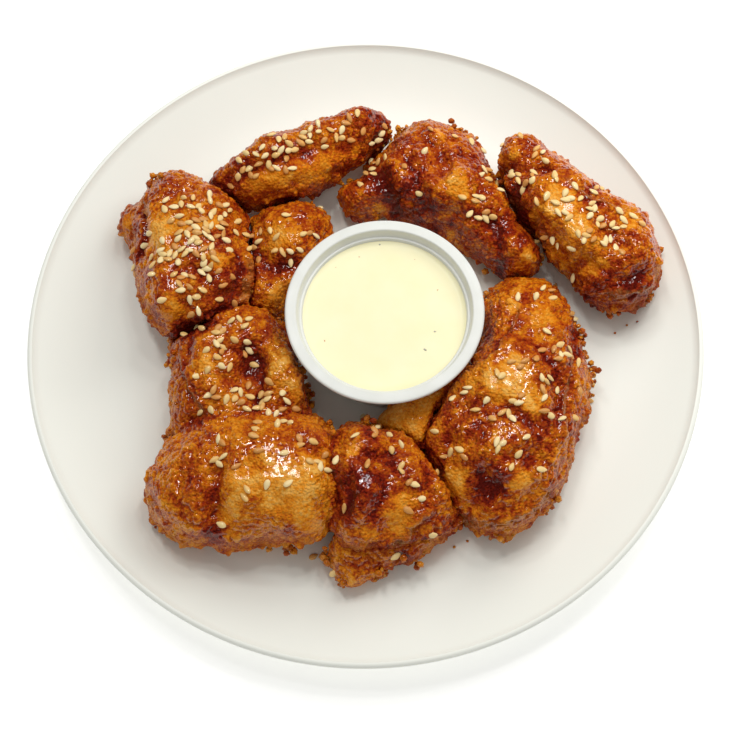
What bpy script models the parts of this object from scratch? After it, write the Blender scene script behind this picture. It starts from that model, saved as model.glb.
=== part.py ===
"""Chicken wings serving: glazed wings in a ring round a portion cup of dip, on one coupe plate.

Metres, +Z up. The origin is on the table under the middle of the plate, and +Y points away from the diner.
The wings are named by the clock, as seen from above with twelve o'clock at +Y.
"""

import math

import bmesh
import bpy
from mathutils import Vector

MM = 0.001
GAP = 0.3 * MM  # air between pieces that touch

# Plate, a coupe: a flat floor that sweeps up to a slim lip.
PLATE_RADIUS = 130 * MM
PLATE_HEIGHT = 18 * MM
PLATE_FLOOR = 6 * MM  # top of the floor above the table
PLATE_THICK = 3.6 * MM
FLAT_RADIUS = 100 * MM
LIP_ROUND = 1.4 * MM
FOOT_RADIUS = 78 * MM
FOOT_WIDTH = 4 * MM
PLATE_SEGMENTS = 64

# Portion cup of thin plastic, with a flat flange and a step inside for stacking.
CUP_CENTRE = Vector((7.6 * MM, -2.5 * MM, 0))
CUP_HEIGHT = 33 * MM
CUP_RIM_RADIUS = 37 * MM
FLANGE_WIDTH = 4.4 * MM
FLANGE_THICK = 1.5 * MM
CUP_BASE_RADIUS = 27 * MM
CUP_WALL = 1.0 * MM
STEP_DEPTH = 3.6 * MM  # below the rim
STEP_WIDTH = 1.0 * MM
CUP_SEGMENTS = 48

DIP_BELOW_RIM = 5 * MM

# A wing's measures are taken at seven even stations from its heel to its tip, in millimetres.
STATIONS = 7
RINGS = 14
AROUND = 18
BLUNTNESS = 6  # how late the ends round off
EQUATOR = 0.42  # height of the widest line, as a share of the thickness
TOP_SQUARE = 2.2  # superellipse powers of the crown and of the flatter underside
UNDER_SQUARE = 3.0

# Each wing has spine points on the plate, half widths left and right of the spine, its thickness, and how far
# its heel and its tip are raised. Humps are (x, y, radius, height) and press the crown up, or down if negative.
# Lobes are knuckles at the side: (x, y), their three radii and the height of their middle above the floor.
WINGS = {
    "wing_11": dict(
        spine=((-60, 60), (-24, 74), (12, 88)),
        left=(3, 5, 7, 8, 7.5, 8, 7),
        right=(5, 12, 17, 17.5, 14, 10, 8),
        thick=(14, 21, 25, 26, 25, 24, 20),
        lift=(7, 4),
        humps=((-36, 66, 10, 2), (-22, 72, 8, -1.5), (-6, 76, 10, 2), (8, 85, 7, 3)),
    ),
    "wing_10": dict(
        spine=((-74, 68), (-70, 30), (-71, -3)),
        left=(8, 19, 26, 27, 27, 20, 8),
        right=(9, 14, 18, 20, 17, 12, 8),
        thick=(22, 27, 28, 28, 28, 26, 21),
        lift=(0, 7),
        humps=((-60, 32, 15, 4), (-76, 58, 8, 2), (-68, 47, 8, -2), (-47, 17, 7, 2), (-74, 6, 9, 2), (-80, 20, 8, -2)),
        lobes=(((-87, 47), (8, 10, 8), 10),),
    ),
    "wing_10_inner": dict(
        spine=((-19, 53), (-32, 30), (-41, 6)),
        left=(7, 13, 15, 14, 12, 9, 6),
        right=(6, 13, 17, 18, 16, 12, 8),
        thick=(18, 21, 22, 22, 21, 19, 15),
        lift=(0, 0),
        humps=((-26, 36, 9, 3), (-34, 22, 7, -2), (-18, 47, 6, 2)),
    ),
    "wing_8": dict(
        spine=((-45, 8), (-49, -22), (-52, -50)),
        left=(9, 17, 22, 25, 28, 30, 22),
        right=(9, 26, 28, 24, 23, 24, 19),
        thick=(22, 26, 28, 28, 27, 24, 16),
        lift=(0, 0),
        humps=((-61, -24, 10, 4), (-31, -23, 10, 5), (-45, -24, 8, -6), (-43, -4, 10, 3)),
    ),
    "wing_7": dict(
        spine=((-82, -66), (-46, -61), (-10, -63)),
        left=(11, 17, 24, 24, 23, 23, 16),
        right=(11, 19, 23, 24, 24, 24, 20),
        thick=(20, 26, 29, 30, 30, 29, 24),
        lift=(0, 4),
        humps=((-34, -60, 16, 4), (-69, -67, 11, 3), (-54, -74, 7, -5), (-18, -50, 9, 3)),
    ),
    "wing_6": dict(
        spine=((-15, -67), (6, -68), (31, -75)),
        left=(19, 25, 25, 22, 18, 10, 5),
        right=(15, 19, 20, 19, 14, 10, 6),
        thick=(16, 22, 24, 23, 21, 17, 12),
        lift=(8, 8),
        humps=((-4, -62, 10, 4), (-2, -48, 6, 2), (12, -74, 9, -2)),
    ),
    "wing_6_under": dict(
        spine=((-17, -88), (8, -84), (36, -72)),
        left=(5, 9, 11, 14, 14, 11, 7),
        right=(4, 13, 9, 7, 7, 5, 4),
        thick=(11, 15, 17, 18, 18, 16, 12),
        lift=(0, 0),
    ),
    "wing_5": dict(
        spine=((2, -50), (24, -35), (48, -18)),
        left=(6, 9, 10, 10, 9, 8, 6),
        right=(6, 12, 15, 15, 13, 10, 6),
        thick=(14, 18, 21, 22, 22, 20, 14),
        lift=(0, 0),
    ),
    "wing_4": dict(
        spine=((66, 17), (58, -18), (50, -50), (46, -84)),
        left=(11, 20, 25, 28, 25, 21, 10),
        right=(16, 17, 15, 22, 30, 25, 11),
        thick=(22, 28, 31, 33, 33, 29, 21),
        lift=(0, 0),
        humps=((57, 2, 9, 2), (66, -12, 8, -3), (54, -32, 14, 4), (45, -60, 10, 4), (48, -48, 6, -4), (75, -30, 9, 2)),
    ),
    "wing_2": dict(
        spine=((61, 73), (84, 40), (107, 6)),
        left=(8, 9, 12, 15.5, 20, 18, 13),
        right=(8, 13, 17.5, 16, 17, 15.5, 12),
        thick=(20, 25, 28, 29, 29, 27, 23),
        lift=(6, 3),
        humps=((76, 38, 13, 3), (83, 54, 8, 2), (68, 58, 7, -3), (105, 16, 9, 4), (95, 28, 8, -3)),
        lobes=(((66, 69), (9, 7, 8), 20),),
    ),
    "wing_1": dict(
        spine=((6, 72), (34, 50), (69, 22)),
        left=(16, 28, 30, 25, 18, 10, 8),
        right=(17, 20, 15, 12, 10, 11, 9),
        thick=(18, 25, 28, 27, 24, 21, 19),
        lift=(0, 3),
        humps=((25, 74, 9, 3), (13, 65, 8, 3), (40, 52, 12, 6), (27, 60, 6, -5), (61, 24, 9, 2), (48, 36, 8, -3)),
        lobes=(((3, 56), (11, 8, 8), 12),),
    ),
}

# Which wings lie on or against each one, so that it gives way to them.
UNDER = {
    "wing_10": ("wing_11",),
    "wing_10_inner": ("wing_11", "wing_10", "wing_8"),
    "wing_8": ("wing_10", "wing_7"),
    "wing_6": ("wing_7", "wing_4"),
    "wing_6_under": ("wing_6", "wing_7", "wing_4"),
    "wing_5": ("wing_4", "wing_6"),
    "wing_4": ("wing_1", "wing_2"),
    "wing_1": ("wing_2", "wing_11"),
}
BESIDE_CUP = ("wing_10_inner", "wing_8", "wing_5", "wing_4", "wing_1")
ON_THE_SWEEP = ("wing_2", "wing_10", "wing_11", "wing_7", "wing_6_under")


def finish(name, colour, roughness):
    """A Principled material from an sRGB colour."""
    made = bpy.data.materials.new(name)
    made.use_nodes = True
    shader = made.node_tree.nodes["Principled BSDF"]
    linear = [((c + 0.055) / 1.055) ** 2.4 for c in colour]
    shader.inputs["Base Color"].default_value = (*linear, 1)
    shader.inputs["Roughness"].default_value = roughness
    return made


def add_object(name, mesh, material=None):
    """Links a smooth-shaded mesh object."""
    mesh.shade_smooth()
    mesh.set_sharp_from_angle(angle=math.radians(40))
    if material:
        mesh.materials.append(material)
    obj = bpy.data.objects.new(name, mesh)
    bpy.context.scene.collection.objects.link(obj)
    return obj


def hide_cutter(obj):
    """Marks a guide solid, which only shapes its neighbours."""
    obj.hide_render = True
    obj.display_type = "WIRE"
    return obj


def turned(name, profile, segments):
    """A closed solid turned round Z from an open (radius, height) profile that starts and ends on the axis."""
    bm = bmesh.new()
    verts = [bm.verts.new((r, 0, z)) for r, z in profile]
    edges = [bm.edges.new(pair) for pair in zip(verts, verts[1:])]
    bmesh.ops.spin(
        bm,
        geom=verts + edges,
        cent=(0, 0, 0),
        axis=(0, 0, 1),
        angle=math.tau,
        steps=segments,
        use_merge=True,
    )
    bmesh.ops.remove_doubles(bm, verts=bm.verts, dist=0.01 * MM)
    bmesh.ops.recalc_face_normals(bm, faces=bm.faces)
    mesh = bpy.data.meshes.new(name)
    bm.to_mesh(mesh)
    bm.free()
    return mesh


def plate_top(radius):
    """Height of the plate's upper surface: flat, then a sweep that steepens to the lip."""
    share = max(0.0, (radius - FLAT_RADIUS) / (PLATE_RADIUS - FLAT_RADIUS))
    return PLATE_FLOOR + (PLATE_HEIGHT - PLATE_FLOOR) * share**1.6


def build_plate(material):
    """The plate, with a rounded lip and a turned foot."""
    lip_start = PLATE_RADIUS - LIP_ROUND
    sweep = [FLAT_RADIUS + (lip_start - FLAT_RADIUS) * i / 5 for i in range(6)]
    top = [(0, PLATE_FLOOR)] + [(r, plate_top(r)) for r in sweep]
    lip = [(PLATE_RADIUS, PLATE_HEIGHT - LIP_ROUND), (PLATE_RADIUS, PLATE_HEIGHT - 2 * LIP_ROUND)]
    top[-1] = (lip_start, PLATE_HEIGHT)
    belly = [(r, max(plate_top(r) - PLATE_THICK, 0)) for r in (sweep[4], sweep[2], sweep[0])]
    foot = [
        (FOOT_RADIUS + FOOT_WIDTH, PLATE_FLOOR - PLATE_THICK),
        (FOOT_RADIUS + FOOT_WIDTH / 2, 0),
        (FOOT_RADIUS - FOOT_WIDTH / 2, 0),
        (FOOT_RADIUS - FOOT_WIDTH, PLATE_FLOOR - PLATE_THICK),
        (0, PLATE_FLOOR - PLATE_THICK),
    ]
    mesh = turned("plate", top + lip + belly + foot, PLATE_SEGMENTS)
    return add_object("plate", mesh, material)


def plate_guide():
    """Everything below the plate's upper surface, raised by the gap."""
    radii = [FLAT_RADIUS + (PLATE_RADIUS - FLAT_RADIUS) * i / 5 for i in range(6)]
    profile = [(0, PLATE_FLOOR + GAP)] + [(r, plate_top(r) + GAP) for r in radii]
    profile += [(PLATE_RADIUS, -PLATE_HEIGHT), (0, -PLATE_HEIGHT)]
    return hide_cutter(add_object("plate_guide", turned("plate_guide", profile, PLATE_SEGMENTS)))


def cup_outer(height):
    """Radius of the cup's outer wall at a height above its foot."""
    mouth = CUP_RIM_RADIUS - FLANGE_WIDTH + CUP_WALL
    return CUP_BASE_RADIUS + (mouth - CUP_BASE_RADIUS) * height / CUP_HEIGHT


def cup_inner(height):
    """Radius of the cup's inner wall, which steps in below the rim."""
    step = STEP_WIDTH if height < CUP_HEIGHT - STEP_DEPTH else 0
    return cup_outer(height) - CUP_WALL - step


def build_cup(material):
    """The empty cup, standing on the plate's floor."""
    step = CUP_HEIGHT - STEP_DEPTH
    edge = FLANGE_THICK / 3
    profile = [
        (0, 0),
        (CUP_BASE_RADIUS - CUP_WALL, 0),
        (cup_outer(CUP_WALL), CUP_WALL),
        (cup_outer(step - STEP_DEPTH), step - STEP_DEPTH),
        (cup_outer(CUP_HEIGHT - FLANGE_THICK), CUP_HEIGHT - FLANGE_THICK),
        (CUP_RIM_RADIUS - edge, CUP_HEIGHT - FLANGE_THICK),
        (CUP_RIM_RADIUS, CUP_HEIGHT - 2 * edge),
        (CUP_RIM_RADIUS - edge, CUP_HEIGHT),
        (cup_inner(CUP_HEIGHT), CUP_HEIGHT),
        (cup_inner(step), step),
        (cup_inner(step - edge), step - edge),
        (cup_inner(2 * CUP_WALL), 2 * CUP_WALL),
        (cup_inner(CUP_WALL) - CUP_WALL, CUP_WALL),
        (0, CUP_WALL),
    ]
    obj = add_object("dip_cup", turned("dip_cup", profile, CUP_SEGMENTS), material)
    obj.location = CUP_CENTRE + Vector((0, 0, PLATE_FLOOR + GAP))
    return obj


def cup_guide():
    """The cup's outside with the gap round it, flange included."""
    flange_under = CUP_HEIGHT - FLANGE_THICK - 2 * GAP
    profile = [
        (0, -PLATE_FLOOR),
        (CUP_BASE_RADIUS + GAP, -PLATE_FLOOR),
        (CUP_BASE_RADIUS + GAP, 0),
        (cup_outer(flange_under) + GAP, flange_under),
        (CUP_RIM_RADIUS + GAP, flange_under),
        (CUP_RIM_RADIUS + GAP, 2 * CUP_HEIGHT),
        (0, 2 * CUP_HEIGHT),
    ]
    obj = hide_cutter(add_object("cup_guide", turned("cup_guide", profile, CUP_SEGMENTS)))
    obj.location = CUP_CENTRE + Vector((0, 0, PLATE_FLOOR + GAP))
    return obj


def build_dip(material):
    """The dip, from the cup's floor up to its level."""
    level = CUP_HEIGHT - DIP_BELOW_RIM
    low = 2 * CUP_WALL
    profile = [
        (0, CUP_WALL + GAP),
        (cup_inner(CUP_WALL) - CUP_WALL - GAP, CUP_WALL + GAP),
        (cup_inner(low) - GAP, low + GAP),
        (cup_inner(level) - GAP, level),
        (0, level),
    ]
    obj = add_object("dip", turned("dip", profile, CUP_SEGMENTS), material)
    obj.location = CUP_CENTRE + Vector((0, 0, PLATE_FLOOR + GAP))
    return obj


def between(values, share):
    """A smooth curve through evenly spaced values, read at a share from 0 to 1."""
    place = share * (len(values) - 1)
    index = min(int(place), len(values) - 2)
    t = place - index
    before = values[max(index - 1, 0)]
    start, end = values[index], values[index + 1]
    after = values[min(index + 2, len(values) - 1)]
    slope_in, slope_out = (end - before) / 2, (after - start) / 2
    return (
        start * (2 * t**3 - 3 * t**2 + 1)
        + end * (3 * t**2 - 2 * t**3)
        + slope_in * (t**3 - 2 * t**2 + t)
        + slope_out * (t**3 - t**2)
    )


def signed_power(value, power):
    """A power that keeps the sign, for superellipses."""
    return math.copysign(abs(value) ** power, value)


def hump_lift(wing, point):
    """How far the humps raise the crown over a point of the plate."""
    lift = 0.0
    for x, y, radius, height in wing.get("humps", ()):
        away = (point - Vector((x, y, 0)) * MM).length / (radius * MM)
        lift += height * MM * math.exp(-(away**2))
    return lift


def wing_section(wing, share):
    """One ring of points round a wing: its spine point, its sideways direction and its measures give the oval."""
    spine = [Vector(p).to_3d() * MM for p in wing["spine"]]
    centre = between(spine, share)
    ahead = between(spine, min(share + 0.01, 1)) - between(spine, max(share - 0.01, 0))
    side = Vector((-ahead.y, ahead.x, 0)).normalized()
    cap = math.sqrt(max(0.0, 1 - abs(2 * share - 1) ** BLUNTNESS))
    thick = between(wing["thick"], share) * MM
    bottom = PLATE_FLOOR + GAP + (wing["lift"][0] + (wing["lift"][1] - wing["lift"][0]) * share) * MM
    widest = bottom + thick * EQUATOR
    ring = []
    for step in range(AROUND):
        angle = math.tau * step / AROUND
        over = math.sin(angle) >= 0
        square = TOP_SQUARE if over else UNDER_SQUARE
        width = between(wing["left"] if math.cos(angle) > 0 else wing["right"], share) * MM
        height = thick * (1 - EQUATOR) if over else thick * EQUATOR
        across = signed_power(math.cos(angle), 2 / square) * width * cap
        rise = signed_power(math.sin(angle), 2 / square) * height * cap
        point = centre + side * across
        if over:
            rise += hump_lift(wing, point) * rise / height
        ring.append(point + Vector((0, 0, widest + rise)))
    return ring


def loft_wing(name, wing):
    """The wing's body: rings of ovals from heel to tip, closer together at the round ends."""
    bm = bmesh.new()
    rings = []
    for row in range(RINGS + 1):
        share = (1 - math.cos(math.pi * row / RINGS)) / 2
        points = wing_section(wing, share)
        if row in (0, RINGS):
            points = [sum(points, Vector()) / AROUND]
        rings.append([bm.verts.new(p) for p in points])
    for near, far in zip(rings, rings[1:]):
        for i in range(AROUND):
            j = (i + 1) % AROUND
            corners = [near[i % len(near)], near[j % len(near)], far[j % len(far)], far[i % len(far)]]
            bm.faces.new(list(dict.fromkeys(corners)))
    bmesh.ops.recalc_face_normals(bm, faces=bm.faces)
    mesh = bpy.data.meshes.new(name)
    bm.to_mesh(mesh)
    bm.free()
    return mesh


def lobe(name, place, radii, height):
    """A knuckle: an ellipsoid that joins the wing's side."""
    bm = bmesh.new()
    bmesh.ops.create_icosphere(bm, subdivisions=2, radius=1)
    bmesh.ops.scale(bm, vec=Vector(radii) * MM, verts=bm.verts)
    centre = Vector((*place, 0)) * MM + Vector((0, 0, PLATE_FLOOR + height * MM))
    bmesh.ops.translate(bm, vec=centre, verts=bm.verts)
    mesh = bpy.data.meshes.new(name)
    bm.to_mesh(mesh)
    bm.free()
    return hide_cutter(add_object(name, mesh))


def boolean(obj, operation, other):
    """Joins or cuts one solid by another."""
    modifier = obj.modifiers.new(f"{operation.lower()} {other.name}", "BOOLEAN")
    modifier.operation = operation
    modifier.object = other


def whole_wing(name, wing):
    """The body and its lobes as one mesh, before anything is cut from it."""
    body = add_object(f"{name}_body", loft_wing(name, wing))
    for number, (place, radii, height) in enumerate(wing.get("lobes", ())):
        boolean(body, "UNION", lobe(f"{name}_lobe_{number}", place, radii, height))
    graph = bpy.context.evaluated_depsgraph_get()
    mesh = bpy.data.meshes.new_from_object(body.evaluated_get(graph))
    bpy.data.objects.remove(body)
    return mesh


def build_wings(material):
    """Every wing, each cut back by the gap from the wings on it, the cup and the plate's sweep."""
    beside_cup, under_sweep = cup_guide(), plate_guide()
    meshes = {name: whole_wing(name, wing) for name, wing in WINGS.items()}
    guides = {}
    for name in sorted({upper for uppers in UNDER.values() for upper in uppers}):
        guide = hide_cutter(add_object(f"{name}_guide", meshes[name].copy()))
        swell = guide.modifiers.new("gap", "DISPLACE")
        swell.strength = GAP
        swell.mid_level = 0
        guides[name] = guide
    for name, mesh in meshes.items():
        obj = add_object(name, mesh, material)
        for upper in UNDER.get(name, ()):
            boolean(obj, "DIFFERENCE", guides[upper])
        if name in BESIDE_CUP:
            boolean(obj, "DIFFERENCE", beside_cup)
        if name in ON_THE_SWEEP:
            boolean(obj, "DIFFERENCE", under_sweep)


def main():
    for obj in list(bpy.data.objects):
        bpy.data.objects.remove(obj)
    build_plate(finish("glazed porcelain", (0.93, 0.93, 0.90), 0.12))
    build_cup(finish("white polypropylene", (0.86, 0.87, 0.84), 0.35))
    build_dip(finish("ranch dip", (0.99, 0.97, 0.84), 0.30))
    build_wings(finish("sticky glazed chicken", (0.66, 0.36, 0.12), 0.25))


main()
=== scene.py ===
# %% [markdown]
# # A serving of glazed chicken wings
#
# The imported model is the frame: a plate, a portion cup with its dip, and the wings as plain solids at their
# true size and place. This lesson gives each of them the surface that the real food has. Everything is in
# metres, so a millimetre gets a name of its own and every size below reads as a cook would say it.

import math
import random

import bmesh
import bpy
import numpy as np
from mathutils import Matrix, Vector
from mathutils.bvhtree import BVHTree


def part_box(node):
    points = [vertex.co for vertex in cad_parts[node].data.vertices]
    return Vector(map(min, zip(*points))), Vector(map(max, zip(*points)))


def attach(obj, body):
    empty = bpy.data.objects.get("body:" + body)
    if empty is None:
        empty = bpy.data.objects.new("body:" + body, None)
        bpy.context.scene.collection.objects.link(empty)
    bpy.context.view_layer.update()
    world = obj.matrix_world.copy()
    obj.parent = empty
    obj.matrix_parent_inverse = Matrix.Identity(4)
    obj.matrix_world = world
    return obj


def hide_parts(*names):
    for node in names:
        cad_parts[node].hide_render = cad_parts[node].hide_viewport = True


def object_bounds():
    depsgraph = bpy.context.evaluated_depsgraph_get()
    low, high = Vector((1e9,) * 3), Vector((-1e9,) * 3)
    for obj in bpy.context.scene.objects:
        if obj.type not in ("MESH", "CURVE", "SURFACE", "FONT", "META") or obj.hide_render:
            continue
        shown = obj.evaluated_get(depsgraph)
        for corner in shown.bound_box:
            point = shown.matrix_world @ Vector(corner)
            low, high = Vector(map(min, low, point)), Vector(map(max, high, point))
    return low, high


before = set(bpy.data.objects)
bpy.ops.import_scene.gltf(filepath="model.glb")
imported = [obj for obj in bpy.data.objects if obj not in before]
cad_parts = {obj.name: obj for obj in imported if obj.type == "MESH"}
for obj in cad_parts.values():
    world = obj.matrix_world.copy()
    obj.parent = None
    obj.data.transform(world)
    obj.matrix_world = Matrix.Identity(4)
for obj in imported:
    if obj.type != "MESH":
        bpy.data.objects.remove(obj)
cad_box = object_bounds()
MM = 0.001
WINGS = sorted(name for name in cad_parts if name.startswith("wing"))
print("wings:", ", ".join(WINGS))

# %% [markdown]
# ## Camera
#
# A diner's camera: it stands over the near edge of the plate and looks steeply down. The lens is a short
# telephoto, so that the plate's ellipse is gentle, and the camera is rolled a little, as a hand holds it.

# %% Camera
AIM = Vector((-0.4, -15.95, 18)) * MM
LOOK_DOWN = math.radians(68.57)
HAND_ROLL = math.radians(-2.22)
DISTANCE = 520 * MM

camera = bpy.data.objects.new("camera", bpy.data.cameras.new("camera"))
camera.data.lens = 67.4
camera.data.sensor_width = 36
turn = Matrix.Rotation(math.pi / 2 - LOOK_DOWN, 4, "X") @ Matrix.Rotation(HAND_ROLL, 4, "Z")
camera.matrix_world = Matrix.Translation(AIM) @ turn @ Matrix.Translation((0, 0, DISTANCE))
bpy.context.scene.collection.objects.link(camera)
bpy.context.scene.camera = camera
print("camera at", [round(v, 3) for v in camera.matrix_world.translation])

# %% [markdown]
# ## Light
#
# Fried food is read by its shadows and its sparkle. A small softbox high at the back throws the shadows
# towards the diner, and four small ceiling spots add pin-sharp glints in the glaze. A broad box close over the
# far right lets the near left of the plate fall off a little, and the pale room fills the shadows. Neither of
# these two shows in reflections, or it would lay a grey veil over the dark glaze. Standard view keeps creams
# clean.

# %% Lights and view
scene = bpy.context.scene
scene.view_settings.view_transform = "Standard"


def softbox(name, place, size, watts):
    """A white square area lamp that faces the plate."""
    lamp = bpy.data.lights.new(name, "AREA")
    lamp.size = size
    lamp.energy = watts
    obj = bpy.data.objects.new(name, lamp)
    obj.location = place
    obj.rotation_euler = (Vector((0, 0, 0.02)) - obj.location).to_track_quat("-Z", "Y").to_euler()
    scene.collection.objects.link(obj)
    return obj


softbox("key", (-0.16, 0.36, 1.05), 0.14, 0.9)
for number, (x, y) in enumerate([(-0.11, 0.15), (0.15, 0.26), (0.24, 0.44), (-0.19, 0.43)]):
    softbox(f"spot {number}", (x, y, 0.90), 0.075, 0.60)
broad = softbox("broad", (0.20, 0.21, 0.30), 0.28, 0.86)
broad.visible_glossy = False

room = bpy.data.worlds.new("white room")
room.use_nodes = True
room.node_tree.nodes["Background"].inputs["Color"].default_value = (1, 1, 1, 1)
room.node_tree.nodes["Background"].inputs["Strength"].default_value = 0.42
room.cycles_visibility.glossy = False
scene.world = room

# %% [markdown]
# ## Helpers for materials
#
# Colours are written as sRGB hex, as a paint chart gives them, and one function turns them linear. One more
# function adds a node with its settings and links, so that each material reads as a short recipe.


# %% Colour and node helpers
def hex_linear(text):
    """An sRGB hex colour as linear RGBA."""
    parts = [int(text[i : i + 2], 16) / 255 for i in (1, 3, 5)]
    return (*(c / 12.92 if c <= 0.04045 else ((c + 0.055) / 1.055) ** 2.4 for c in parts), 1)


def add(tree, kind, settings=None, **links):
    """Adds a node. Settings are properties or input defaults; links are input names to sockets."""
    node = tree.nodes.new(kind)
    for key, value in (settings or {}).items():
        if isinstance(key, str) and hasattr(node, key) and key not in node.inputs:
            setattr(node, key, value)
        else:
            node.inputs[key].default_value = value
    for key, socket in links.items():
        slot = int(key[1:]) if key[0] == "i" and key[1:].isdigit() else key.replace("_", " ")
        tree.links.new(socket, node.inputs[slot])
    return node


def new_material(name, **values):
    """A Principled material: its tree and shader, with plain values set on the sockets."""
    made = bpy.data.materials.new(name)
    made.use_nodes = True
    shader = made.node_tree.nodes["Principled BSDF"]
    for key, value in values.items():
        shader.inputs[key.replace("_", " ")].default_value = value
    return made, made.node_tree, shader


def ramp(tree, factor, stops):
    """A colour ramp from (position, hex) stops."""
    node = add(tree, "ShaderNodeValToRGB", i0=factor)
    elements = node.color_ramp.elements
    while len(elements) < len(stops):
        elements.new(0.5)
    for element, (position, colour) in zip(elements, stops):
        element.position = position
        element.color = hex_linear(colour)
    return node.outputs["Color"]


# %% [markdown]
# ## Porcelain
#
# The plate is white porcelain, pressed, bisque fired and then dipped in a clear glaze. The glaze is a
# satin one, so it softens every reflection, with a very faint orange-peel waviness from the dip.

# %% Porcelain material
porcelain, tree, shader = new_material("porcelain, satin glazed and fired", Roughness=0.4, IOR=1.3)
where = add(tree, "ShaderNodeTexCoord").outputs["Object"]
peel = add(tree, "ShaderNodeTexNoise", {"Scale": 1 / (24 * MM), "Detail": 1}, Vector=where)
glaze_bump = add(tree, "ShaderNodeBump", {"Strength": 0.02, "Distance": 0.4 * MM}, Height=peel.outputs["Fac"])
tree.links.new(glaze_bump.outputs["Normal"], shader.inputs["Normal"])
body = add(tree, "ShaderNodeTexNoise", {"Scale": 1 / (60 * MM), "Detail": 2}, Vector=where)
whites = ramp(tree, body.outputs["Fac"], [(0.3, "#F4F5EB"), (0.7, "#F7F8EE")])
tree.links.new(whites, shader.inputs["Base Color"])

# %% [markdown]
# ## The plate
#
# A coupe plate is thrown or pressed on a wheel, so it is a profile turned round an axis. `bmesh.ops.spin` does
# just that. The frame's plate has few facets; the same profile with many more keeps its reflections smooth.


# %% Turned pieces
def turned(name, profile, segments, centre=(0, 0, 0)):
    """A closed piece spun from (radius, height) points that start and end on the axis."""
    bm = bmesh.new()
    verts = [bm.verts.new((r, 0, z)) for r, z in profile]
    edges = [bm.edges.new(pair) for pair in zip(verts, verts[1:])]
    bmesh.ops.spin(
        bm, geom=verts + edges, cent=(0, 0, 0), axis=(0, 0, 1), angle=math.tau, steps=segments, use_merge=True
    )
    bmesh.ops.remove_doubles(bm, verts=bm.verts, dist=0.005 * MM)
    bmesh.ops.recalc_face_normals(bm, faces=bm.faces)
    bmesh.ops.translate(bm, vec=centre, verts=bm.verts)
    return finish_piece(name, bm)


def finish_piece(name, bm, sharp=35):
    """Turns a bmesh into a smooth-shaded object with its place in its mesh."""
    mesh = bpy.data.meshes.new(name)
    bm.to_mesh(mesh)
    bm.free()
    mesh.shade_smooth()
    mesh.set_sharp_from_angle(angle=math.radians(sharp))
    obj = bpy.data.objects.new(name, mesh)
    scene.collection.objects.link(obj)
    return obj


def arc(centre, radius, start, end, steps):
    """Points on a circle of (radius, height) coordinates, angles in degrees."""
    angles = [math.radians(start + (end - start) * i / steps) for i in range(steps + 1)]
    return [(centre[0] + radius * math.cos(a), centre[1] + radius * math.sin(a)) for a in angles]


# %% Plate
low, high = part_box("plate")
PLATE_RADIUS, PLATE_HEIGHT = high[0], high[2]
PLATE_FLOOR = 6 * MM
PLATE_THICK = 3.6 * MM
FLAT_RADIUS = 100 * MM
LIP_ROUND = 1.4 * MM
FOOT_RADIUS = 78 * MM


def plate_top(radius):
    """Height of the upper surface: flat, then a sweep that steepens to the lip."""
    share = max(0.0, (radius - FLAT_RADIUS) / (PLATE_RADIUS - FLAT_RADIUS))
    return PLATE_FLOOR + (PLATE_HEIGHT - PLATE_FLOOR) * share**1.6


sweep = [FLAT_RADIUS + (PLATE_RADIUS - 2 * LIP_ROUND - FLAT_RADIUS) * i / 16 for i in range(17)]
lip_centre = (PLATE_RADIUS - LIP_ROUND, PLATE_HEIGHT - LIP_ROUND)
profile = [(0, PLATE_FLOOR), (50 * MM, PLATE_FLOOR)] + [(r, plate_top(r)) for r in sweep]
profile += arc(lip_centre, LIP_ROUND, 115, -70, 8)
profile += [(r, plate_top(r) - PLATE_THICK) for r in sweep[-3::-2] if plate_top(r) > PLATE_THICK]
profile += [(FOOT_RADIUS + 6 * MM, PLATE_FLOOR - PLATE_THICK)]
profile += arc((FOOT_RADIUS + 1.2 * MM, 0.8 * MM), 0.8 * MM, 20, -90, 4)
profile += arc((FOOT_RADIUS - 1.2 * MM, 0.8 * MM), 0.8 * MM, -90, -200, 4)
profile += [(FOOT_RADIUS - 6 * MM, PLATE_FLOOR - PLATE_THICK), (0, PLATE_FLOOR - PLATE_THICK)]
plate = turned("coupe_plate", profile, 192)
plate.data.materials.append(porcelain)
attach(plate, "root")
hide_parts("plate")
print("plate", len(plate.data.polygons), "faces")

# %% [markdown]
# ## The portion cup
#
# The dip comes in a thin cup of white polypropylene, blown or moulded, with a flat flange and a small step
# inside the mouth for stacking. The plastic is satin and a little translucent, so it glows where light passes.

# %% Cup
low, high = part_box("dip_cup")
CUP_X, CUP_Y = (low[0] + high[0]) / 2, (low[1] + high[1]) / 2
CUP_FOOT, CUP_RIM = low[2], high[2]
CUP_HEIGHT = CUP_RIM - CUP_FOOT
RIM_RADIUS = (high[0] - low[0]) / 2
FLANGE = 4.4 * MM
FLANGE_THICK = 1.5 * MM
CUP_WALL = 1.0 * MM
BASE_RADIUS = 27 * MM
STEP_DOWN = 3.6 * MM


def cup_outer(height):
    """Outer wall's radius above the foot."""
    mouth = RIM_RADIUS - FLANGE + CUP_WALL
    return BASE_RADIUS + (mouth - BASE_RADIUS) * height / CUP_HEIGHT


def cup_inner(height):
    """Inner wall's radius, narrower below the stacking step."""
    return cup_outer(height) - CUP_WALL - (1.0 * MM if height < CUP_HEIGHT - STEP_DOWN else 0)


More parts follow.
